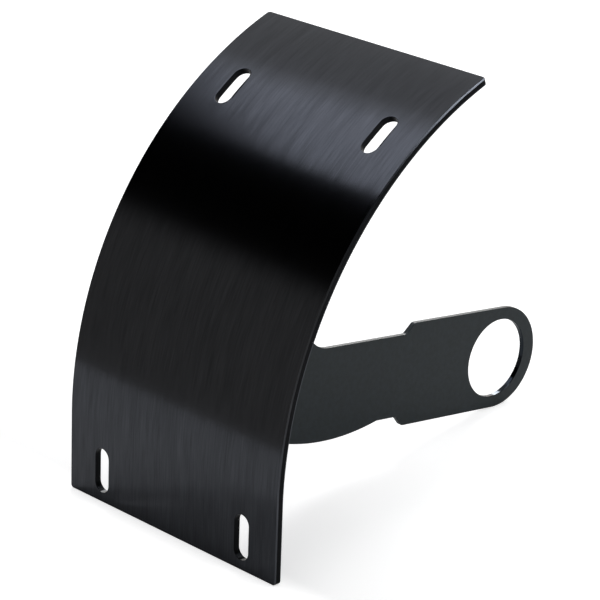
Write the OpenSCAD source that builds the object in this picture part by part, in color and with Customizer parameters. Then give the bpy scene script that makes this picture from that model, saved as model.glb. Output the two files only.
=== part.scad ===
// Side mount license plate holder for a motorcycle, in millimetres.
// A curved plate carries the license plate on its convex face. A flat arm stands upright behind its
// middle and ends in a round head with the bore for the wheel axle.
// +X runs along the axle, -Y is the face of the plate, +Z is up. The origin is the centre of the bore,
// and the holder stands on the plate's bottom edge and the round head, as on a table.

/* [Plate] */
// Width of the plate
plate_w = 103; // [85:0.5:130]
// Length of the plate along its front face, before bending
plate_l = 194.4; // [185:0.1:225]
// Thickness of the plate
plate_t = 2.5; // [2:0.1:4]
// Straight stretch at the bottom
bottom_flat = 27.7; // [20:0.1:36]
// Radius of the bend above it, on the front face
bend_r = 137.2; // [115:0.1:200]
// Radius of the four corners
corner_r = 2; // [0.5:0.5:6]
// Broken edge along both long sides
side_chamfer = 0.4; // [0.1:0.05:0.8]

/* [Slots for the license plate's screws] */
// Distance between the slots across the plate
pattern_w = 69.85; // [60:0.05:76]
// Distance between the slots along the front face
pattern_h = 146.05; // [130:0.05:160]
// Height of the lower slots' centres above the bottom edge
slot_rise = 11.7; // [10:0.1:18]
// Length of a slot
slot_l = 16.4; // [10:0.1:18]
// Width of a slot
slot_w = 6.8; // [5:0.1:8]

/* [Arm] */
// Thickness of the arm
arm_t = 2; // [1.5:0.1:6]
// Distance of the bore behind the face of the bottom flat
bore_reach = 161.2; // [150:0.1:185]
// Height of the bore above the plate's bottom edge
bore_rise = 23; // [20:0.1:36]
// Slope of the arm down towards the bore, in degrees
arm_slope = 7; // [3:0.5:12]
// Diameter of the axle bore
bore_d = 30; // [20:0.1:32]
// Broken edge of the bore, on both sides
bore_chamfer = 0.2; // [0.1:0.05:0.6]
// Width of the head
head_w = 38.9; // [36.5:0.1:46]
// Distance of the end radius's centre past the bore
end_shift = 1.3; // [0:0.1:3]
// Length of the head from the bore to its step
head_l = 47.8; // [36:0.1:54]
// Width of the neck
neck_w = 31.2; // [24:0.1:35]
// Radius of the step's corners
step_r = 2; // [0.5:0.1:3]

/* [Root of the arm] */
// Distance from the bore to the start of the rounded belly
belly_start = 61.6; // [58:0.1:72]
// Radius of the belly
belly_r = 96; // [85:1:130]
// Depth of the belly below the neck
belly_depth = 3.7; // [2:0.1:8]
// Distance from the bore to the corner where the top edge turns up
elbow = 95.7; // [88:0.1:108]
// Radius in that corner
elbow_r = 12; // [6:0.5:20]
// Rise of the top edge from there to the plate, in degrees
root_rise = 40; // [30:1:50]

/* [Welds] */
// Leg of the fillet welds
weld_leg = 2.8; // [2:0.1:4]
// Swell of the welds' face
weld_swell = 0.35; // [0.1:0.05:0.5]

/* [Hidden] */
$fn = 96;
anodised = [0.20, 0.21, 0.23];
coated = [0.17, 0.18, 0.19];
weld_tone = [0.22, 0.22, 0.23];
overrun = 1; // how far a cutter reaches past the faces it cuts
corner_cross = 0.01; // how far a corner's arc runs past the edges, so that it crosses them cleanly
bend_l = plate_l - bottom_flat;
bend_angle = bend_l / bend_r * 180 / PI;
head_r = head_w / 2;
slot_heights = [slot_rise, slot_rise + pattern_h];
slot_sides = [-pattern_w / 2, pattern_w / 2];
// The step from head to neck runs at 45 degrees, so its corners are 135 degrees wide
step = (head_w - neck_w) / 2;
step_corner_r = min(step_r, step * sqrt(2) / 2 * tan(67.5));
belly_half = sqrt(pow(belly_r, 2) - pow(belly_r - belly_depth, 2));
blank_l = bore_reach + bend_r; // reaches past the plate, and is cut off at its back
// The holder stands on the back corner of the plate's bottom edge and on the round end
end_y = bore_reach + end_shift * cos(arm_slope);
end_z = bore_rise - end_shift * sin(arm_slope);
stand_tilt = atan2(end_z, end_y - plate_t) - asin(head_r / norm([end_y - plate_t, end_z]));

// Places a child drawn in the plate's own frame, bottom flat upright, into the standing frame
module standing() {
    rotate([-stand_tilt, 0, 0]) translate([0, -bore_reach, -bore_rise]) children();
}

// Turns a sketch in Y and Z into a solid, thick along X and centred on X = 0
module upright(thickness) {
    rotate([90, 0, 90]) linear_extrude(thickness, center = true) children();
}

// Moves to a place on the front face, at length s along it: Y into the plate, Z along its length
module on_face(s) {
    turn = max(s - bottom_flat, 0) / bend_r * 180 / PI;
    translate([0, bend_r, bottom_flat]) rotate([-turn, 0, 0])
        translate([0, -bend_r, min(s - bottom_flat, 0)]) children();
}

// Carries a section along the plate and a little past both ends: its x is the depth behind the face,
// its y the place along X
module along_plate() {
    translate([0, 0, -overrun]) rotate([0, 0, 90]) linear_extrude(bottom_flat + overrun)
        mirror([0, 1]) children();
    translate([0, bend_r, bottom_flat]) rotate([90, 0, -90])
        rotate_extrude(angle = bend_angle + overrun) translate([bend_r, 0]) rotate(180) children();
}

// Everything deeper than a depth behind the front face, in Y and Z
module behind_face(depth) {
    translate([depth, -blank_l]) square([blank_l, blank_l + bottom_flat]);
    translate([bend_r, bottom_flat]) circle(bend_r - depth);
}

// The bent sheet seen from its edge, in Y and Z
module sheet_profile() {
    difference() {
        behind_face(0);
        behind_face(plate_t);
        translate([-overrun, -2 * blank_l]) square([2 * blank_l, 2 * blank_l]);
        translate([bend_r, bottom_flat]) rotate(-bend_angle)
            translate([-2 * bend_r, 0]) square(4 * bend_r);
    }
}

// The sliver between a corner and its fillet: added to an inner corner, cut from an outer one.
// The edges leave the corner at angles a and b, less than 180 degrees apart
module corner_sliver(p, a, b, r) {
    half = (b - a) / 2;
    run = r / tan(half);
    centre = p + r / sin(half) * [cos(a + half), sin(a + half)];
    difference() {
        polygon([p, p + run * [cos(a), sin(a)], centre, p + run * [cos(b), sin(b)]]);
        translate(centre) circle(r);
    }
}

// What rounding takes off a corner of the plate, with the plate's edges along +x and +y
module rounded_off() {
    difference() {
        translate([-overrun, -overrun]) square(corner_r + overrun);
        translate([corner_r, corner_r]) circle(corner_r + corner_cross);
    }
}

// What breaking the long edges on one side takes off, in the section across the sheet
module edge_cuts(side) {
    edge = side * (plate_w / 2 + overrun);
    inner = side * (plate_w / 2 - side_chamfer - overrun);
    reach = side_chamfer + overrun;
    polygon([[-overrun, edge], [-overrun, inner], [reach, edge]]);
    polygon([[plate_t + overrun, edge], [plate_t + overrun, inner], [plate_t - reach, edge]]);
}

module slot_outline() {
    straight = slot_l - slot_w;
    square([slot_w, straight], center = true);
    for (end = [-1, 1]) translate([0, end * straight / 2]) circle(slot_w / 2);
}

// Cuts a sketch in X and Z through the sheet
module through_sheet() {
    translate([0, plate_t + overrun, 0]) rotate([90, 0, 0])
        linear_extrude(plate_t + 2 * overrun) children();
}

module curved_plate() {
    color(anodised) standing() difference() {
        upright(plate_w) sheet_profile();
        for (side = [-1, 1]) along_plate() edge_cuts(side);
        for (s = slot_heights) on_face(s)
            for (x = slot_sides) translate([x, 0, 0]) through_sheet() slot_outline();
        for (corner = [[0, -1, 0], [0, 1, 90], [plate_l, 1, 180], [plate_l, -1, 270]])
            on_face(corner[0]) through_sheet() translate([corner[1] * plate_w / 2, 0]) rotate(corner[2])
                rounded_off();
    }
}

// Outline of the arm, with its x from the bore towards the plate and its y up, long past the plate
module arm_blank() {
    neck = neck_w / 2;
    difference() {
        union() {
            translate([-end_shift, 0]) circle(head_r);
            translate([-end_shift, -head_r]) square([head_l + end_shift, head_w]);
            polygon([[head_l, -head_r], [head_l + step, -neck], [head_l + step, neck], [head_l, head_r]]);
            translate([head_l, -neck]) square([elbow - head_l, neck_w]);
            corner_sliver([head_l + step, neck], 0, 135, step_corner_r);
            corner_sliver([head_l + step, -neck], 225, 360, step_corner_r);
            corner_sliver([elbow, neck], root_rise, 180, elbow_r);
            arm_root();
        }
        corner_sliver([head_l, head_r], 180, 315, step_corner_r);
        corner_sliver([head_l, -head_r], 45, 180, step_corner_r);
    }
}

// The root widens upwards: its lower edge is the belly's arc, its upper edge rises from the elbow
module arm_root() {
    neck = neck_w / 2;
    far_up = [elbow, neck] + blank_l * [cos(root_rise), sin(root_rise)];
    intersection() {
        translate([belly_start + belly_half, belly_r - neck - belly_depth]) circle(belly_r);
        polygon([[belly_start, neck], [elbow, neck], far_up, [blank_l, -blank_l], [belly_start, -blank_l]]);
    }
}

// The same outline in the plate's frame, in Y and Z
module placed_blank() {
    translate([bore_reach, bore_rise]) rotate(-arm_slope) mirror([1, 0]) arm_blank();
}

module bore_cut() {
    rotate([0, 90, 0]) cylinder(h = arm_t + 2 * overrun, d = bore_d, center = true);
    for (side = [0, 180]) rotate([0, 90, side]) translate([0, 0, arm_t / 2 - bore_chamfer])
        cylinder(h = 2 * bore_chamfer, d1 = bore_d, d2 = bore_d + 4 * bore_chamfer);
}

module axle_arm() {
    color(coated) standing() difference() {
        upright(arm_t) intersection() {
            placed_blank();
            behind_face(plate_t);
        }
        translate([0, bore_reach, bore_rise]) bore_cut();
    }
}

// Fillet weld between the back of the plate and one side of the arm, as long as the arm's root
module weld_bead(side) {
    inner = arm_t / 2;
    middle = weld_leg / 2 + weld_swell;
    color(weld_tone) standing() intersection() {
        along_plate() polygon([
            [plate_t, side * inner],
            [plate_t + weld_leg, side * inner],
            [plate_t + middle, side * (inner + middle)],
            [plate_t, side * (inner + weld_leg)]]);
        upright(arm_t + 4 * weld_leg) placed_blank();
    }
}

module weld_bead_left() { weld_bead(-1); }
module weld_bead_right() { weld_bead(1); }

curved_plate();
axle_arm();
weld_bead_left();
weld_bead_right();
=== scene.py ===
import math

import bmesh
import bpy
import numpy as np
from mathutils import Matrix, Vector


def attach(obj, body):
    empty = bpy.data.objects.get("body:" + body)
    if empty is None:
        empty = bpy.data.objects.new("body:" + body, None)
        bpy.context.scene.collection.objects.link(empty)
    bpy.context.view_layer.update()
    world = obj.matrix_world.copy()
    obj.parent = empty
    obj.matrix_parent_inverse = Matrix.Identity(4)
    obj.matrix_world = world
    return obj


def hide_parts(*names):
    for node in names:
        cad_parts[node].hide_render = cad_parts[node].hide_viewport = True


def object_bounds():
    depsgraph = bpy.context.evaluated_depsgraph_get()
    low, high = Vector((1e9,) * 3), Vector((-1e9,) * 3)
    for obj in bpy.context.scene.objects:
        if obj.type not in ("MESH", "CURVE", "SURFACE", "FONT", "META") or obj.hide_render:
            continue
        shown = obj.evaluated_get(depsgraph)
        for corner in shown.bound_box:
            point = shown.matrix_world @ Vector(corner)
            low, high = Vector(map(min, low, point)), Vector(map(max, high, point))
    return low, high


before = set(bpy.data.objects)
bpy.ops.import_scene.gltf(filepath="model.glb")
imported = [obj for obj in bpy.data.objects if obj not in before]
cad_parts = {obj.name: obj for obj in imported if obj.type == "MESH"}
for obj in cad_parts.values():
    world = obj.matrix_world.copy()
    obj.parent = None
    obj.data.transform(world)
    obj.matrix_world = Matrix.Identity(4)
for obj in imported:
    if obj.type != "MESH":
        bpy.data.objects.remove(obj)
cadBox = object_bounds()
print("the packed model is in place")

# How the holder stands, in metres and degrees: the bore's centre is the origin
stance = {
    "boreReach": 0.1612,      # from the face of the bottom flat back to the bore
    "boreRise": 0.023,        # from the plate's bottom edge up to the bore
    "standTilt": 1.21285,     # how far the plate leans back on its edge and the arm's end
    "armSlope": 7.0,          # the arm runs down towards the bore
}


def stand(x, y, z):
    # turns (y, z), measured from the bore with the bottom flat upright, about X by the stand's tilt
    tilt = math.radians(stance["standTilt"])
    return np.stack([x + 0 * y, y * math.cos(tilt) + z * math.sin(tilt),
                     z * math.cos(tilt) - y * math.sin(tilt)], -1)


# Mesh helpers

meshRules = {
    "weldDistance": 2e-6, "shortestEdge": 1e-7,
    "sharpAngle": 35,         # chamfers stay flat, and the rounded edges turn less than this per face
}


def gridFaces(rows, columns, start, wrap=False):
    # quads between neighbouring rows and columns of a grid of points, numbered row by row
    across = columns if wrap else columns - 1
    row, column = np.meshgrid(np.arange(rows - 1), np.arange(across), indexing="ij")
    after = (column + 1) % columns
    below, above = row * columns, (row + 1) * columns
    return start + np.stack([below + column, below + after, above + after, above + column], -1).reshape(-1, 4)


def buildPiece(name, patches, material, node, developed=None):
    # joins patches (a grid of points, does it close on itself) into one skin that rides on the CAD's body
    points, faces, start = [], [], 0
    for grid, wrap in patches:
        points.append(grid.reshape(-1, 3))
        faces.append(gridFaces(grid.shape[0], grid.shape[1], start, wrap))
        start += grid.shape[0] * grid.shape[1]
    mesh = bpy.data.meshes.new(name)
    mesh.from_pydata(np.concatenate(points).tolist(), [], np.concatenate(faces).tolist())
    if developed is not None:
        layer = mesh.attributes.new("developed", "FLOAT_VECTOR", "POINT")
        layer.data.foreach_set("vector", np.concatenate(developed).astype(np.float32).ravel())
    skin = bmesh.new()
    skin.from_mesh(mesh)
    bmesh.ops.remove_doubles(skin, verts=skin.verts, dist=meshRules["weldDistance"])
    bmesh.ops.dissolve_degenerate(skin, edges=skin.edges, dist=meshRules["shortestEdge"])
    bmesh.ops.recalc_face_normals(skin, faces=skin.faces)
    skin.to_mesh(mesh)
    skin.free()
    mesh.polygons.foreach_set("use_smooth", np.ones(len(mesh.polygons), bool))
    mesh.set_sharp_from_angle(angle=math.radians(meshRules["sharpAngle"]))
    piece = bpy.data.objects.new(name, mesh)
    bpy.context.scene.collection.objects.link(piece)
    piece.data.materials.append(material)
    soften = piece.modifiers.new("flat faces stay flat", "WEIGHTED_NORMAL")
    soften.mode = "FACE_AREA"
    soften.keep_sharp = True
    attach(piece, "root")
    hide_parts(node)
    print(name, "has", len(mesh.polygons), "faces")


def edgeProfile(thickness, front, back, steps):
    # (how far inside the outline, depth) from the front face over its broken edge, down the wall and over to
    # the back: quarter circles of the radii front and back, each a number or one for each point of the
    # outline; in one step a quarter circle is a flat chamfer
    turn = np.linspace(0, math.pi / 2, steps + 1)[:, None]
    inset = np.concatenate([front * (1 - np.sin(turn)), back * (1 - np.sin(turn[::-1]))])
    depth = np.concatenate([front * (1 - np.cos(turn)), thickness - back * (1 - np.cos(turn[::-1]))])
    return inset, depth


def outwardNormals(loop):
    # normals of a closed loop that runs anticlockwise, longer at a corner, so that an offset keeps its width
    ahead = np.roll(loop, -1, 0) - loop
    ahead /= np.linalg.norm(ahead, axis=1, keepdims=True)
    tangent = ahead + np.roll(ahead, 1, 0)
    tangent /= np.linalg.norm(tangent, axis=1, keepdims=True)
    stretch = 1 / np.maximum((tangent * ahead).sum(1), 0.5)
    return np.stack([tangent[:, 1], -tangent[:, 0]], -1) * stretch[:, None]


# Materials

def linearColour(code):
    # sRGB hex to linear, the usual piecewise curve
    parts = np.array([int(code[i:i + 2], 16) / 255 for i in (1, 3, 5)])
    return (*np.where(parts <= 0.04045, parts / 12.92, ((parts + 0.055) / 1.055) ** 2.4).tolist(), 1.0)


def addNode(tree, kind, settings=None, links=None):
    # settings are a shader node's properties or its inputs' values, links are (input, from node, output)
    node = tree.nodes.new(kind)
    for key, value in (settings or {}).items():
        if isinstance(key, str) and hasattr(node, key):
            setattr(node, key, value)
        else:
            node.inputs[key].default_value = value
    for socket, source, output in links or []:
        tree.links.new(source.outputs[output], node.inputs[socket])
    return node


def newMaterial(name):
    material = bpy.data.materials.new(name)
    material.use_nodes = True
    material.node_tree.nodes.clear()
    return material, material.node_tree


def addRamp(tree, source, output, stops):
    # a colour ramp with two stops, each (position, sRGB hex)
    ramp = addNode(tree, "ShaderNodeValToRGB", {}, [("Fac", source, output)])
    for element, (position, code) in zip(ramp.color_ramp.elements, stops):
        element.position = position
        element.color = linearColour(code)
    return ramp


brushedPlate = {
    # tones of the streaks, at values of: fine streaks + half the broad patches
    "tones": ((0.5, "#424448"), (1.0, "#53555a")),
    # real brush marks are 0.05 mm wide: drawn coarser, or they would not show
    "streakWidth": 0.0006, "streakLength": 0.014,
    "patchWidth": 0.004, "patchLength": 0.03, "patchPlace": (7.3, 2.1, 0),
    "roughness": 0.15, "roughnessSpread": 0.02,
    "grooveDepth": 0.00002, "grooveStrength": 0.12,
    "edgeRoughness": 0.3, "edgePaintedHighlight": 1.7,    # broken edges were not brushed, so rougher; their colour is lightened, a painted highlight along the edges
    "wallPaintedShade": 0.09,           # painted shade: the sheared and punched walls' colour, as a share of the face's tone, darkened so that they reflect less
    "seam": 0.02,              # how fast one finish gives way to the next, as a share of the chamfer
}


def brushedAnodised():
    # Black anodised aluminium, brushed along its length before it was dyed: fine parallel streaks under a
    # thin clear oxide, a dark mirror blurred by the brushing; cut walls get painted shade, broken edges a
    # painted highlight
    look = brushedPlate
    material, tree = newMaterial("brushed black anodised aluminium")
    place = addNode(tree, "ShaderNodeAttribute", {"attribute_name": "developed"})
    streakScale = (1 / look["streakWidth"], 1 / look["streakLength"], 0)
    fineMap = addNode(tree, "ShaderNodeMapping", {"Scale": streakScale}, [("Vector", place, "Vector")])
    fine = addNode(tree, "ShaderNodeTexNoise", {"Scale": 1.0, "Detail": 3.0, "Roughness": 0.6},
                   [("Vector", fineMap, "Vector")])
    patchScale = (1 / look["patchWidth"], 1 / look["patchLength"], 0)
    patchMap = addNode(tree, "ShaderNodeMapping", {"Scale": patchScale, "Location": look["patchPlace"]},
                       [("Vector", place, "Vector")])
    patch = addNode(tree, "ShaderNodeTexNoise", {"Scale": 1.0, "Detail": 2.0},
                    [("Vector", patchMap, "Vector")])
    both = addNode(tree, "ShaderNodeMath", {"operation": "MULTIPLY_ADD", 1: 0.5},
                   [(0, patch, "Fac"), (2, fine, "Fac")])
    tone = addRamp(tree, both, "Value", look["tones"])
    gloss = addNode(tree, "ShaderNodeMapRange",
                    {"From Min": look["tones"][0][0], "From Max": look["tones"][1][0],
                     "To Min": look["roughness"] + look["roughnessSpread"],
                     "To Max": look["roughness"] - look["roughnessSpread"]}, [("Value", both, "Value")])
    relief = addNode(tree, "ShaderNodeBump",
                     {"Strength": look["grooveStrength"], "Distance": look["grooveDepth"]},
                     [("Height", fine, "Fac")])
    # the distance from the sheet's middle, by the depth behind the front face, tells the cut edge (up to the
    # chamfers), the chamfers and the faces from each other
    parts = addNode(tree, "ShaderNodeSeparateXYZ", {}, [(0, place, "Vector")])
    middle = plate["thickness"] / 2
    fromMiddle = addNode(tree, "ShaderNodeMath", {"operation": "SUBTRACT", 1: middle}, [(0, parts, "Z")])
    distance = addNode(tree, "ShaderNodeMath", {"operation": "ABSOLUTE"}, [(0, fromMiddle, 0)])
    chamfer = middle - plate["sideChamfer"]
    seam = look["seam"] * plate["sideChamfer"]
    # painted shade: the cut walls and the slots' walls get a small share of the face's tone
    shade = addNode(tree, "ShaderNodeMapRange", {"From Min": chamfer - seam, "From Max": chamfer,
                                                 "To Min": look["wallPaintedShade"]}, [("Value", distance, 0)])
    # painted highlight: the chamfers' colour is lightened, so the line along the plate's edges shines
    # brighter
    paintedHighlight = addNode(tree, "ShaderNodeMapRange", {"From Min": middle - seam, "From Max": middle,
                                                 "To Min": look["edgePaintedHighlight"]}, [("Value", distance, 0)])
    strength = addNode(tree, "ShaderNodeMath", {"operation": "MULTIPLY"}, [(0, shade, 0), (1, paintedHighlight, 0)])
    toneWithPaintedLight = addNode(tree, "ShaderNodeVectorMath", {"operation": "SCALE"},
                   [(0, tone, "Color"), ("Scale", strength, 0)])
    finish = addNode(tree, "ShaderNodeMapRange",
                     {"From Min": middle - seam, "From Max": middle, "To Min": look["edgeRoughness"]},
                     [("Value", distance, 0), ("To Max", gloss, "Result")])
    shader = addNode(tree, "ShaderNodeBsdfPrincipled", {"Metallic": 1.0},
                     [("Base Color", toneWithPaintedLight, 0), ("Roughness", finish, "Result"), ("Normal", relief, "Normal")])
    addNode(tree, "ShaderNodeOutputMaterial", {}, [("Surface", shader, "BSDF")])
    return material


coat = {
    "tones": ((0.3, "#1f292c"), (0.75, "#283338")),
    "roughness": 0.42, "roughnessSpread": 0.05, "specular": 0.46,
    "bore": "#2f343a",        # the reamed bore is bare, darkened metal
    "boreRoughness": 0.12,
    "boreEdge": (0.00003, 0.00002),    # the coat begins this far inside the chamfer's outer edge
    "peelSize": 0.0016, "peelStrength": 0.25,    # the soft waves of a sprayed and baked coat
    "grainSize": 0.0003,
}


def satinCoat(name, peelHeight):
    # Satin black powder coat on metal: smooth, barely wavy, with a soft even sheen
    material, tree = newMaterial(name)
    place = addNode(tree, "ShaderNodeTexCoord")
    peel = addNode(tree, "ShaderNodeTexNoise", {"Scale": 1 / coat["peelSize"], "Detail": 2.0},
                   [("Vector", place, "Object")])
    grain = addNode(tree, "ShaderNodeTexNoise", {"Scale": 1 / coat["grainSize"], "Detail": 1.0},
                    [("Vector", place, "Object")])
    tone = addRamp(tree, peel, "Fac", coat["tones"])
    gloss = addNode(tree, "ShaderNodeMapRange", {"To Min": coat["roughness"] - coat["roughnessSpread"],
                                                 "To Max": coat["roughness"] + coat["roughnessSpread"]},
                    [("Value", grain, "Fac")])
    # the bore is where the distance from the X axis is below its radius and its chamfer
    flat = addNode(tree, "ShaderNodeVectorMath", {"operation": "MULTIPLY", 1: (0, 1, 1)},
                   [(0, place, "Object")])
    radius = addNode(tree, "ShaderNodeVectorMath", {"operation": "LENGTH"}, [(0, flat, 0)])
    rim = arm["boreDiameter"] / 2 + arm["boreChamfer"]
    inside = addNode(tree, "ShaderNodeMapRange",
                     {"From Min": rim - coat["boreEdge"][0], "From Max": rim - coat["boreEdge"][1],
                      "To Min": 1.0, "To Max": 0.0}, [("Value", radius, "Value")])
    colour = addNode(tree, "ShaderNodeMix", {"data_type": "RGBA", 7: linearColour(coat["bore"])},
                     [(0, inside, "Result"), (6, tone, "Color")])
    finish = addNode(tree, "ShaderNodeMapRange", {"To Max": coat["boreRoughness"]},
                     [("Value", inside, "Result"), ("To Min", gloss, "Result")])
    waves = addNode(tree, "ShaderNodeBump", {"Strength": coat["peelStrength"], "Distance": peelHeight},
                    [("Height", peel, "Fac")])
    shader = addNode(tree, "ShaderNodeBsdfPrincipled", {"Specular IOR Level": coat["specular"]},
                     [("Base Color", colour, 2), ("Metallic", inside, "Result"),
                      ("Roughness", finish, "Result"), ("Normal", waves, "Normal")])
    addNode(tree, "ShaderNodeOutputMaterial", {}, [("Surface", shader, "BSDF")])
    return material


# The curved plate

plate = {
    "width": 0.103, "length": 0.1944, "thickness": 0.0025,
    "bottomFlat": 0.0277, "bendRadius": 0.1372,
    "cornerRadius": 0.0014,
    "sideChamfer": 0.0004, "endChamfer": 0.00015, "backChamfer": 0.00012,
    "slotAcross": 0.06985, "slotAlong": 0.14605, "slotRise": 0.0117,
    "slotLength": 0.0164, "slotWidth": 0.0068, "slotRounding": 0.00006,
    "border": 0.0023,                            # the ring of faces along the outline
    "cellAcross": 0.0075, "cellAlong": 0.0094,   # half sizes of the cell of faces round each slot
    "stepsAcross": (4, 14, 14, 14, 4), "stepsAlong": (18, 84, 18, 16),
    "cornerSteps": 8, "slotRings": 5, "slotRoundingSteps": 3,
}


def placeOnPlate(x, s, depth):
    # a point of the flat blank: straight up to the bottom flat's end, then round the bend by
    # (s - flat) / radius
    turn = np.maximum(s - plate["bottomFlat"], 0) / plate["bendRadius"]
    below = np.minimum(s - plate["bottomFlat"], 0)
    radius = plate["bendRadius"] - depth
    y = plate["bendRadius"] - radius * np.cos(turn)
    z = plate["bottomFlat"] + radius * np.sin(turn) + below
    return stand(x, y - stance["boreReach"], z - stance["boreRise"])


def slotLoop(directions):
    # where rays from the slot's middle leave its outline, two straight sides and two half circles, with the
    # outline's normals there
    radius = plate["slotWidth"] / 2
    straight = (plate["slotLength"] - plate["slotWidth"]) / 2
    dx, ds = directions.T / np.linalg.norm(directions, axis=1)
    toSide = radius / np.maximum(np.abs(dx), 1e-9)
    toEnd = straight * np.abs(ds) + np.sqrt(np.maximum(radius ** 2 - (straight * dx) ** 2, 0))
    onSide = toSide * np.abs(ds) <= straight
    points = np.where(onSide, toSide, toEnd)[:, None] * np.stack([dx, ds], -1)
    centres = np.stack([0 * dx, np.clip(points[:, 1], -straight, straight)], -1)
    return points, (points - centres) / radius


def rectangleLoop(xLines, sLines):
    # anticlockwise round a rectangle, side by side, through every grid line that meets its border
    bottom = np.stack([xLines[:-1], np.full(len(xLines) - 1, sLines[0])], -1)
    right = np.stack([np.full(len(sLines) - 1, xLines[-1]), sLines[:-1]], -1)
    top = np.stack([xLines[:0:-1], np.full(len(xLines) - 1, sLines[-1])], -1)
    left = np.stack([np.full(len(sLines) - 1, xLines[0]), sLines[:0:-1]], -1)
    return bottom, right, top, left


def slotCentre(i, j):
    # of the cell's slot: cells 1 and 3 across and 0 and 2 along have one
    return np.array([(i // 2 - 0.5) * plate["slotAcross"], plate["slotRise"] + j // 2 * plate["slotAlong"]])


def plateLines():
    # grid lines across and along the blank: beside, through and between the slots' cells, up to the border
    side, slotX = plate["width"] / 2 - plate["border"], plate["slotAcross"] / 2
    across, along = plate["cellAcross"], plate["cellAlong"]
    low, high = plate["slotRise"], plate["slotRise"] + plate["slotAlong"]
    xStops = [-side, -slotX - across, -slotX + across, slotX - across, slotX + across, side]
    sStops = [plate["border"], low + along, high - along, high + along, plate["length"] - plate["border"]]
    xParts = [np.linspace(a, b, n + 1) for a, b, n in zip(xStops, xStops[1:], plate["stepsAcross"])]
    sParts = [np.linspace(a, b, n + 1) for a, b, n in zip(sStops, sStops[1:], plate["stepsAlong"])]
    return xParts, sParts


def plateOutline(xParts, sParts):
    # the outline, straight runs joined by quarter circles, with its normals, and the point of the grid's
    # border that each of its points is joined to
    corner = plate["cornerRadius"]
    side, end = xParts[-1][-1], sParts[-1][-1]
    runs = rectangleLoop(np.concatenate([part[:-1] for part in xParts] + [[side]]),
                         np.concatenate([part[:-1] for part in sParts] + [[end]]))
    middle = np.array([0, plate["length"] / 2])
    straightHalf = np.array([plate["width"] / 2 - corner, plate["length"] / 2 - corner])
    gridHalf = np.array([side, plate["length"] / 2 - plate["border"]])
    border, outline, normals = [], [], []
    for index, run in enumerate(runs):
        outward = np.array([(0, -1), (1, 0), (0, 1), (-1, 0)][index])
        last = runs[(index + 1) % 4][:1]
        full = np.concatenate([run, last])
        alongRun = (full - middle) * straightHalf / gridHalf
        alongRun = np.where(outward != 0, outward * (straightHalf + corner), alongRun) + middle
        turn = np.radians(90 * index - 90 + np.linspace(0, 90, plate["cornerSteps"] + 1)[1:-1])
        centre = middle + straightHalf * np.array([(1, -1), (1, 1), (-1, 1), (-1, -1)][index])
        arc = np.stack([np.cos(turn), np.sin(turn)], -1)
        border += [full, np.repeat(last, len(turn), 0)]
        outline += [alongRun, centre + corner * arc]
        normals += [np.tile(outward, (len(full), 1)), arc]
    return (np.concatenate(part) for part in (border, outline, normals))


def buildPlate():
    thickness = plate["thickness"]
    xParts, sParts = plateLines()
    border, outline, normals = plateOutline(xParts, sParts)
    slotCells = [(i, j) for i in (1, 3) for j in (0, 2)]
    patches, developed = [], []

    def add(x, s, depth, wrap=False, marked=None):
        # the attribute developed holds x, s and the depth, or marked where the material is to paint shade on
        # a cut wall
        patches.append((placeOnPlate(x, s, depth), wrap))
        developed.append(np.stack([x, s, (depth if marked is None else marked) + 0 * x], -1).reshape(-1, 3))

    # the long sides' front edges are broken more than the ends'
    front = plate["endChamfer"] + (plate["sideChamfer"] - plate["endChamfer"]) * normals[:, 0] ** 2
    back = plate["backChamfer"] + 0 * front
    inset, depths = edgeProfile(thickness, front, back, 1)
    rounding = plate["slotRounding"]
    slotInset, slotDepths = edgeProfile(thickness, rounding, rounding, plate["slotRoundingSteps"])
    for depth, broken in ((0.0, front), (thickness, back)):
        ring = np.stack([border, outline - normals * broken[:, None]])
        add(ring[..., 0], ring[..., 1], depth, True)
        for i, xLines in enumerate(xParts):
            for j, sLines in enumerate(sParts):
                if (i, j) in slotCells:
                    cell = np.concatenate(rectangleLoop(xLines, sLines))
                    points, out = slotLoop(cell - slotCentre(i, j))
                    share = np.linspace(0, 1, plate["slotRings"] + 1)[:, None, None]
                    ring = (1 - share) * cell + share * (slotCentre(i, j) + points + out * rounding)
                    add(ring[..., 0], ring[..., 1], depth, True)
                else:
                    x, s = np.meshgrid(xLines, sLines)
                    add(x, s, depth)
    wall = outline - normals * inset[..., None]
    add(wall[..., 0], wall[..., 1], depths, True)
    for i, j in slotCells:
        points, out = slotLoop(np.concatenate(rectangleLoop(xParts[i], sParts[j])) - slotCentre(i, j))
        wall = slotCentre(i, j) + points + out * slotInset[..., None]
        # the slots' walls are marked at the sheet's middle, so the material paints shade on them
        marked = np.full(slotDepths.shape, thickness / 2)
        marked[0], marked[-1] = 0, thickness
        add(wall[..., 0], wall[..., 1], slotDepths + 0 * wall[..., 0], True, marked)
    buildPiece("curvedPlate", patches, brushedAnodised(), "curved_plate", developed)


# The arm

arm = {
    "thickness": 0.002, "edgeRounding": 0.00025,
    "boreDiameter": 0.03, "boreChamfer": 0.0002,
    "headWidth": 0.0389, "endShift": 0.0013, "headLength": 0.0478,
    "neckWidth": 0.0312, "stepRadius": 0.002,
    "bellyStart": 0.0616, "bellyRadius": 0.096, "bellyDepth": 0.0037,
    "elbow": 0.0957, "elbowRadius": 0.012, "rootRise": 40.0,
    "ringEnd": 0.023,        # the ring of faces round the bore reaches this far towards the plate
    "stepsAlong": 280, "stepsAcross": 14, "stepsRound": 72, "stepsBeside": 12,
    "bellySteps": 59, "filletSteps": 12, "boreRings": 4, "roundingSteps": 4,
}


def placeOnArm(u, w, x):
    # u runs from the bore towards the plate, w across the arm, turned by the arm's slope
    slope = math.radians(stance["armSlope"])
    return stand(x, -u * math.cos(slope) + w * math.sin(slope), u * math.sin(slope) + w * math.cos(slope))


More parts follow.
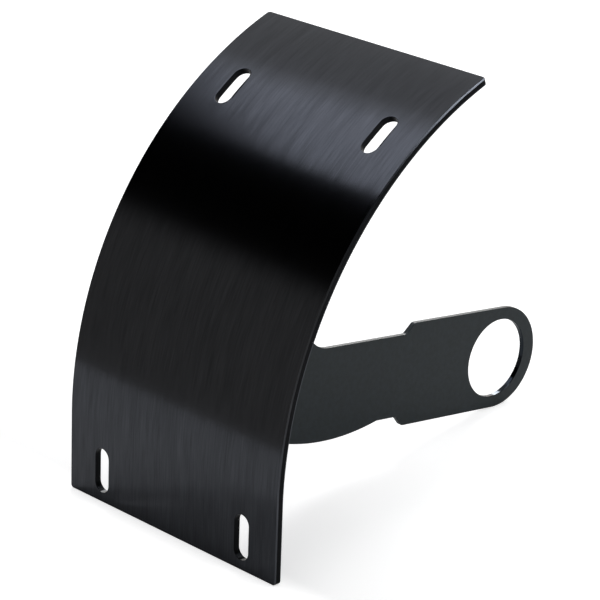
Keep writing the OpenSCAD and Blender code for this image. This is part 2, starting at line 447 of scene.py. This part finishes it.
def arcPoints(centre, radius, angles):
    return centre + radius * np.stack([np.cos(angles), np.sin(angles)], -1)


def arcBetween(centre, radius, first, last, steps):
    # along a circle from one point to another
    angles = [math.atan2(*(point - centre)[::-1]) for point in (first, last)]
    return arcPoints(centre, radius, np.linspace(*angles, steps + 1))


def roundedPath(corners, radii):
    # a line through the corners with an arc of the given radius in each inner one
    parts = [corners[:1]]
    for before, at, after, radius in zip(corners, corners[1:], corners[2:], radii):
        back = (before - at) / np.linalg.norm(before - at)
        on = (after - at) / np.linalg.norm(after - at)
        half = math.acos(float(np.clip(back @ on, -1, 1))) / 2
        centre = at + (back + on) / np.linalg.norm(back + on) * radius / math.sin(half)
        first = at + back * radius / math.tan(half) - centre
        last = at + on * radius / math.tan(half) - centre
        sweep = np.linspace(0, math.pi - 2 * half, arm["filletSteps"] + 1)[:, None]
        parts.append(centre + (first * np.sin(sweep[::-1]) + last * np.sin(sweep)) / math.sin(2 * half))
    return np.concatenate(parts + [corners[-1:]])


def resample(path, steps):
    # points at even distances along a path
    run = np.concatenate([[0], np.cumsum(np.linalg.norm(np.diff(path, axis=0), axis=1))])
    at = np.linspace(0, run[-1], steps + 1)
    return np.stack([np.interp(at, run, path[:, 0]), np.interp(at, run, path[:, 1])], -1)


def plateBackOnArm():
    # the bend's back face in the arm's plane: centre and radius of its circle
    slope = math.radians(stance["armSlope"])
    y = plate["bendRadius"] - stance["boreReach"]
    z = plate["bottomFlat"] - stance["boreRise"]
    centre = np.array([-y * math.cos(slope) + z * math.sin(slope), y * math.sin(slope) + z * math.cos(slope)])
    return centre, plate["bendRadius"] - plate["thickness"]


def rootCorners():
    # the belly arc's centre, and where it and the rising top edge meet the plate's back
    backCentre, backRadius = plateBackOnArm()
    neck, radius = arm["neckWidth"] / 2, arm["bellyRadius"]
    bellyHalf = math.sqrt(radius ** 2 - (radius - arm["bellyDepth"]) ** 2)
    bellyCentre = np.array([arm["bellyStart"] + bellyHalf, radius - neck - arm["bellyDepth"]])
    between = backCentre - bellyCentre
    gap = float(np.linalg.norm(between))
    share = (gap ** 2 + radius ** 2 - backRadius ** 2) / (2 * gap)
    along = between / gap
    aside = math.sqrt(radius ** 2 - share ** 2) * np.array([-along[1], along[0]])
    crossings = [bellyCentre + along * share + turn * aside for turn in (-1, 1)]
    low = max(crossings, key=lambda point: point[0] - abs(point[1] + neck))
    rise = math.radians(arm["rootRise"])
    way = np.array([math.cos(rise), math.sin(rise)])
    start = np.array([arm["elbow"], neck]) - backCentre
    reach = -start @ way + math.sqrt((start @ way) ** 2 - start @ start + backRadius ** 2)
    return bellyCentre, low, start + backCentre + way * reach


def armEdges():
    # upper and lower edge, each from the ring round the bore to the plate: head, step, neck, flare
    neck, head = arm["neckWidth"] / 2, arm["headWidth"] / 2
    bellyCentre, low, high = rootCorners()
    headEnd, neckStart = arm["headLength"], arm["headLength"] + head - neck
    steps = [arm["stepRadius"]] * 2
    lower = roundedPath(np.array([(arm["ringEnd"], -head), (headEnd, -head), (neckStart, -neck),
                                  (arm["bellyStart"], -neck)]), steps)
    belly = arcBetween(bellyCentre, arm["bellyRadius"], lower[-1], low, arm["bellySteps"])
    upper = roundedPath(np.array([(arm["ringEnd"], head), (headEnd, head), (neckStart, neck),
                                  (arm["elbow"], neck), high]), steps + [arm["elbowRadius"]])
    return resample(upper, arm["stepsAlong"]), resample(np.concatenate([lower, belly[1:]]), arm["stepsAlong"])


def buildArm():
    upper, lower = armEdges()
    # anticlockwise: upper edge back to the ring, round end, lower edge to the plate, up the plate's back
    end = arcBetween(*plateBackOnArm(), lower[-1], upper[-1], arm["stepsAcross"])
    turn = np.linspace(math.pi / 2, 3 * math.pi / 2, arm["stepsRound"] + 1)
    roundEnd = arcPoints(np.array([-arm["endShift"], 0]), arm["headWidth"] / 2, turn)
    beside = np.linspace(0, 1, arm["stepsBeside"] + 1)[:, None]
    top = (1 - beside) * upper[:1] + beside * roundEnd[:1]
    bottom = (1 - beside) * roundEnd[-1:] + beside * lower[:1]
    pieces = [upper[::-1], top[1:], roundEnd[1:], bottom[1:], lower[1:], end[1:-1]]
    loop = np.concatenate(pieces)
    normals = outwardNormals(loop)
    face = loop - normals * arm["edgeRounding"]
    counts = np.cumsum([0] + [len(piece) for piece in pieces])
    faceUpper = face[counts[0]:counts[1]][::-1]
    faceRing = face[counts[1] - 1:counts[4]]
    faceLower = face[counts[4] - 1:counts[5]]
    faceEnd = np.concatenate([faceLower[-1:], face[counts[5]:], faceUpper[-1:]])
    # between the edges: a patch blended from its four borders, those along + those across - the corners
    s = np.linspace(0, 1, arm["stepsAlong"] + 1)[None, :, None]
    t = np.linspace(0, 1, arm["stepsAcross"] + 1)[:, None, None]
    start = (1 - t) * faceLower[0] + t * faceUpper[0]
    corners = ((1 - s) * (1 - t) * faceLower[0] + s * (1 - t) * faceLower[-1]
               + (1 - s) * t * faceUpper[0] + s * t * faceUpper[-1])
    body = (1 - t) * faceLower + t * faceUpper + (1 - s) * start + s * faceEnd[:, None] - corners
    # round the bore: a ring from the head's outline in to the bore's chamfer
    outer = np.concatenate([faceRing, start[1:-1, 0]])
    boreNormals = arcPoints(0, 1, np.arctan2(outer[:, 1], outer[:, 0]))
    bore = arm["boreDiameter"] / 2 * boreNormals
    share = np.linspace(0, 1, arm["boreRings"] + 1)[:, None, None]
    ring = (1 - share) * outer + share * (bore + boreNormals * arm["boreChamfer"])
    half = arm["thickness"] / 2
    patches = []
    for x in (half, -half):
        patches.append((placeOnArm(body[..., 0], body[..., 1], x), False))
        patches.append((placeOnArm(ring[..., 0], ring[..., 1], x), True))
    for path, out, broken, steps in ((loop, -normals, arm["edgeRounding"], arm["roundingSteps"]),
                                     (bore, boreNormals, arm["boreChamfer"], 1)):
        inset, depths = edgeProfile(arm["thickness"], broken, broken, steps)
        wall = path + out * inset[..., None]
        patches.append((placeOnArm(wall[..., 0], wall[..., 1], half - depths), True))
    buildPiece("axleArm", patches, satinCoat("satin black powder coat", 0.00003), "axle_arm")


# The welds between the arm and the plate's back

weld = {
    "leg": 0.0028, "swell": 0.00035, "buried": 0.0002,
    "ripple": 0.0015,         # the welder's pace
    "rippleHeight": 0.0002,
    "crescent": 0.9,          # how far each ripple's middle lags behind its ends, in ripples
    "endScale": 0.03,         # the section's size at its very ends
    "steps": 420, "sectionSteps": 14, "taper": 0.0022,
}


def alongPlate(point):
    # how far up the blank a point in the arm's plane lies, for a point on the bend
    slope = math.radians(stance["armSlope"])
    u, w = point - plateBackOnArm()[0]
    y, z = -u * math.cos(slope) + w * math.sin(slope), u * math.sin(slope) + w * math.cos(slope)
    return plate["bottomFlat"] + math.atan2(z, -y) * plate["bendRadius"]


def buildWeld(name, side, node, material):
    # a section carried along the arm's root, from the arm's side (q = 0) to the plate's back (q = 1): the
    # straight line between the legs' ends, pushed out both ways by a swell bow = 4 q (1 - q) and lowered
    # between the ripples, crescents |sin(pi (s / pace + lag bow))| that fade towards both legs
    _, low, high = rootCorners()
    first, last = alongPlate(low), alongPlate(high)
    s = np.linspace(first, last, weld["steps"] + 1)
    q = np.linspace(0, 1, weld["sectionSteps"] + 1)[:, None]
    bow = 4 * q * (1 - q)
    crescents = np.abs(np.sin(math.pi * (s / weld["ripple"] + weld["crescent"] * bow)))
    lowered = (crescents * np.sin(math.pi * q) ** 0.5 - 1) * weld["rippleHeight"]
    push = bow * weld["swell"] + lowered / math.sqrt(2)
    # both ends run out in a quarter circle
    fromEnd = np.clip(np.minimum(s - first, last - s) / weld["taper"], 0, 1)
    scale = weld["endScale"] + (1 - weld["endScale"]) * np.sqrt(1 - (1 - fromEnd) ** 2)
    x = (q * weld["leg"] + push) * scale
    depth = ((1 - q) * weld["leg"] + push) * scale
    # the section closes through the corner, a little way inside both pieces
    buried = np.full((1, len(s)), -weld["buried"])
    x = np.concatenate([buried, buried, x, x[-1:]])
    depth = np.concatenate([buried, depth[:1], depth, buried])
    points = placeOnPlate(side * (arm["thickness"] / 2 + x), s + 0 * x, plate["thickness"] + depth)
    patches = [(points.transpose(1, 0, 2), True)]
    for k in (0, -1):
        middle = np.repeat(points[:, k].mean(0, keepdims=True), len(points), 0)
        patches.append((np.stack([points[:, k], middle]), True))
    buildPiece(name, patches, material, node)


buildPlate()
buildArm()
weldCoat = satinCoat("powder coat over a weld", 0.00006)
buildWeld("weldBeadLeft", -1, "weld_bead_left", weldCoat)
buildWeld("weldBeadRight", 1, "weld_bead_right", weldCoat)

# Floor, light and camera

studio = {
    "floorColour": "#e6e6e6",
    # how much the paper is lifted for the camera by Y, a painted light: to white before the plate, where it
    # hides the plate's shadow, less behind it, where the shadow stays
    "floorGlow": ((-0.175, 1.0), (-0.153, 0.51), (-0.1, 0.65), (-0.05, 0.7), (0.0, 0.66)),
    "glowFar": (0.45, 1.2),    # between these the paper fades to plain white, past the lamps' reach
    "paper": ((-3, -0.34), (3, -0.34), (3, 6), (-3, 6)),    # its front edge lies close to the plate's foot
    "wallColour": (1.04, 1.0, 0.95, 1), "wallTop": 0.37, "wallFade": 0.1, "wallStrength": 0.21,
    # a paler backdrop, by how nearly a direction is the backdrop's
    "backdropWay": (-0.65, 0.76, 0), "backdropStart": 0.5, "backdropFull": 0.85, "backdropStrength": 1.3,
    "lensLength": 178.013, "sensorWidth": 36,
    "cameraPlace": (0.66991, -0.764758, 0.425013),
    "cameraRight": (0.698275, 0.71561, 0.017771),
    "cameraDown": (0.276283, -0.246522, -0.92892),
    "cameraAhead": (-0.660364, 0.653551, -0.369852),
}

# Softboxes: centre, the point each one faces, width and depth in metres, radiance, colour
lamps = {
    "bright softbox over the left shoulder":
        ((-1.21, -0.395, 1.75), (-1.211, -0.385, 0), (0.9, 0.728), 1.4, (0.97, 1.0, 1.09)),
    "its fading edge":
        ((-1.307, 0.032, 1.75), (-1.308, 0.042, 0), (1.0, 0.14), 1.0, (0.98, 1.0, 1.05)),
    "dim softbox behind it":
        ((-1.497, 0.721, 1.75), (-1.498, 0.731, 0), (1.6, 1.27), 0.57, (1, 1, 1)),
    "big softbox over the floor":
        ((-0.1, -0.12, 2.0), (-0.1, -0.1, 0), (1.1, 1.1), 1.85, (1, 1, 1)),
    "softbox behind":
        ((-0.1, 1.3, 1.9), (0, -0.1, 0), (0.4, 0.9), 4.0, (1, 1, 1)),
    "main light from the left behind":
        ((-1.6, 1.66, 1.45), (0, -0.05, 0.05), (0.8, 0.8), 12.5, (1, 1, 1)),
    "strip light from the right":
        ((1.28, 0.76, 1.95), (0, -0.05, 0.1), (1.9, 0.22), 9.0, (0.97, 1.0, 1.05)),
}


def buildFloor():
    floorHeight = min(corner[2] for corner in cadBox)
    mesh = bpy.data.meshes.new("floor")
    mesh.from_pydata([(x, y, floorHeight) for x, y in studio["paper"]], [], [(0, 1, 2, 3)])
    floor = bpy.data.objects.new("floor", mesh)
    bpy.context.scene.collection.objects.link(floor)
    # white paper: what the camera sees of it is lifted towards white by a painted light that varies by Y, and
    # keeps the soft shadow behind the plate
    material, tree = newMaterial("white paper floor")
    paper = addNode(tree, "ShaderNodeBsdfDiffuse", {"Color": linearColour(studio["floorColour"])})
    ray = addNode(tree, "ShaderNodeLightPath")
    place = addNode(tree, "ShaderNodeTexCoord")
    parts = addNode(tree, "ShaderNodeSeparateXYZ", {}, [(0, place, "Object")])
    near, far = studio["floorGlow"][0][0], studio["floorGlow"][-1][0]
    along = addNode(tree, "ShaderNodeMapRange", {"From Min": near, "From Max": far}, [("Value", parts, "Y")])
    lifted = addNode(tree, "ShaderNodeValToRGB", {}, [("Fac", along, "Result")])
    stops = lifted.color_ramp.elements
    for y, strength in studio["floorGlow"]:
        stop = stops[-1] if y == far else stops[0] if y == near else stops.new((y - near) / (far - near))
        stop.color = (strength, strength, strength, 1)
    away = addNode(tree, "ShaderNodeVectorMath", {"operation": "LENGTH"}, [(0, place, "Object")])
    fade = addNode(tree, "ShaderNodeMapRange",
                   {"From Min": studio["glowFar"][0], "From Max": studio["glowFar"][1]},
                   [("Value", away, "Value")])
    strength = addNode(tree, "ShaderNodeMath", {"operation": "MAXIMUM"},
                       [(0, lifted, "Color"), (1, fade, "Result")])
    glow = addNode(tree, "ShaderNodeEmission", {}, [("Strength", strength, "Value")])
    none = addNode(tree, "ShaderNodeEmission", {"Strength": 0.0})
    lift = addNode(tree, "ShaderNodeMixShader", {},
                   [("Fac", ray, "Is Camera Ray"), (1, none, 0), (2, glow, 0)])
    lit = addNode(tree, "ShaderNodeAddShader", {}, [(0, paper, 0), (1, lift, 0)])
    addNode(tree, "ShaderNodeOutputMaterial", {}, [("Surface", lit, 0)])
    mesh.materials.append(material)


def buildWorld():
    # dim grey walls and a pale backdrop on the far left, dark above; white to the camera
    world = bpy.data.worlds.new("studio")
    bpy.context.scene.world = world
    world.use_nodes = True
    tree = world.node_tree
    tree.nodes.clear()
    place = addNode(tree, "ShaderNodeTexCoord")
    parts = addNode(tree, "ShaderNodeSeparateXYZ", {}, [(0, place, "Generated")])
    way = addNode(tree, "ShaderNodeVectorMath", {"operation": "DOT_PRODUCT", 1: studio["backdropWay"]},
                  [(0, place, "Generated")])
    behind = addNode(tree, "ShaderNodeMapRange",
                     {"interpolation_type": "SMOOTHSTEP", "From Min": studio["backdropStart"],
                      "From Max": studio["backdropFull"], "To Min": studio["wallStrength"],
                      "To Max": studio["backdropStrength"]}, [("Value", way, "Value")])
    wall = addNode(tree, "ShaderNodeMapRange",
                   {"interpolation_type": "SMOOTHSTEP", "From Min": studio["wallTop"],
                    "From Max": studio["wallTop"] + studio["wallFade"], "To Max": 0.0},
                   [("Value", parts, "Z"), ("To Min", behind, "Result")])
    ray = addNode(tree, "ShaderNodeLightPath")
    dim = addNode(tree, "ShaderNodeBackground", {"Color": studio["wallColour"]},
                  [("Strength", wall, "Result")])
    white = addNode(tree, "ShaderNodeBackground", {"Color": (1, 1, 1, 1), "Strength": 1.0})
    background = addNode(tree, "ShaderNodeMixShader", {},
                         [("Fac", ray, "Is Camera Ray"), (1, dim, 0), (2, white, 0)])
    addNode(tree, "ShaderNodeOutputWorld", {}, [("Surface", background, 0)])


def addLamp(name, centre, facing, size, radiance, colour):
    # a rectangular softbox whose face has the given radiance: Blender's watts are radiance x area x pi
    lamp = bpy.data.lights.new(name, "AREA")
    lamp.shape = "RECTANGLE"
    lamp.size, lamp.size_y = size
    lamp.energy = radiance * size[0] * size[1] * math.pi
    lamp.color = colour
    softbox = bpy.data.objects.new(name, lamp)
    bpy.context.scene.collection.objects.link(softbox)
    ahead = np.array(facing) - np.array(centre)
    ahead = ahead / np.linalg.norm(ahead)
    side = np.cross(ahead, (0, 0, 1.0))
    side = side / np.linalg.norm(side)
    up = np.cross(side, ahead)
    softbox.matrix_world = Matrix([[side[i], up[i], -ahead[i], centre[i]] for i in range(3)] + [[0, 0, 0, 1]])


def buildCamera():
    # placed by a fit to the photo's outline, slots and bore
    data = bpy.data.cameras.new("camera")
    data.lens, data.sensor_width = studio["lensLength"], studio["sensorWidth"]
    camera = bpy.data.objects.new("camera", data)
    bpy.context.scene.collection.objects.link(camera)
    right, down, ahead = (studio[key] for key in ("cameraRight", "cameraDown", "cameraAhead"))
    place = studio["cameraPlace"]
    camera.matrix_world = Matrix([[right[i], -down[i], -ahead[i], place[i]] for i in range(3)]
                                 + [[0, 0, 0, 1]])
    bpy.context.scene.camera = camera


buildFloor()
buildWorld()
for lampName, settings in lamps.items():
    addLamp(lampName, *settings)
buildCamera()
bpy.context.scene.view_settings.view_transform = "Standard"
print("floor, light and camera are set")
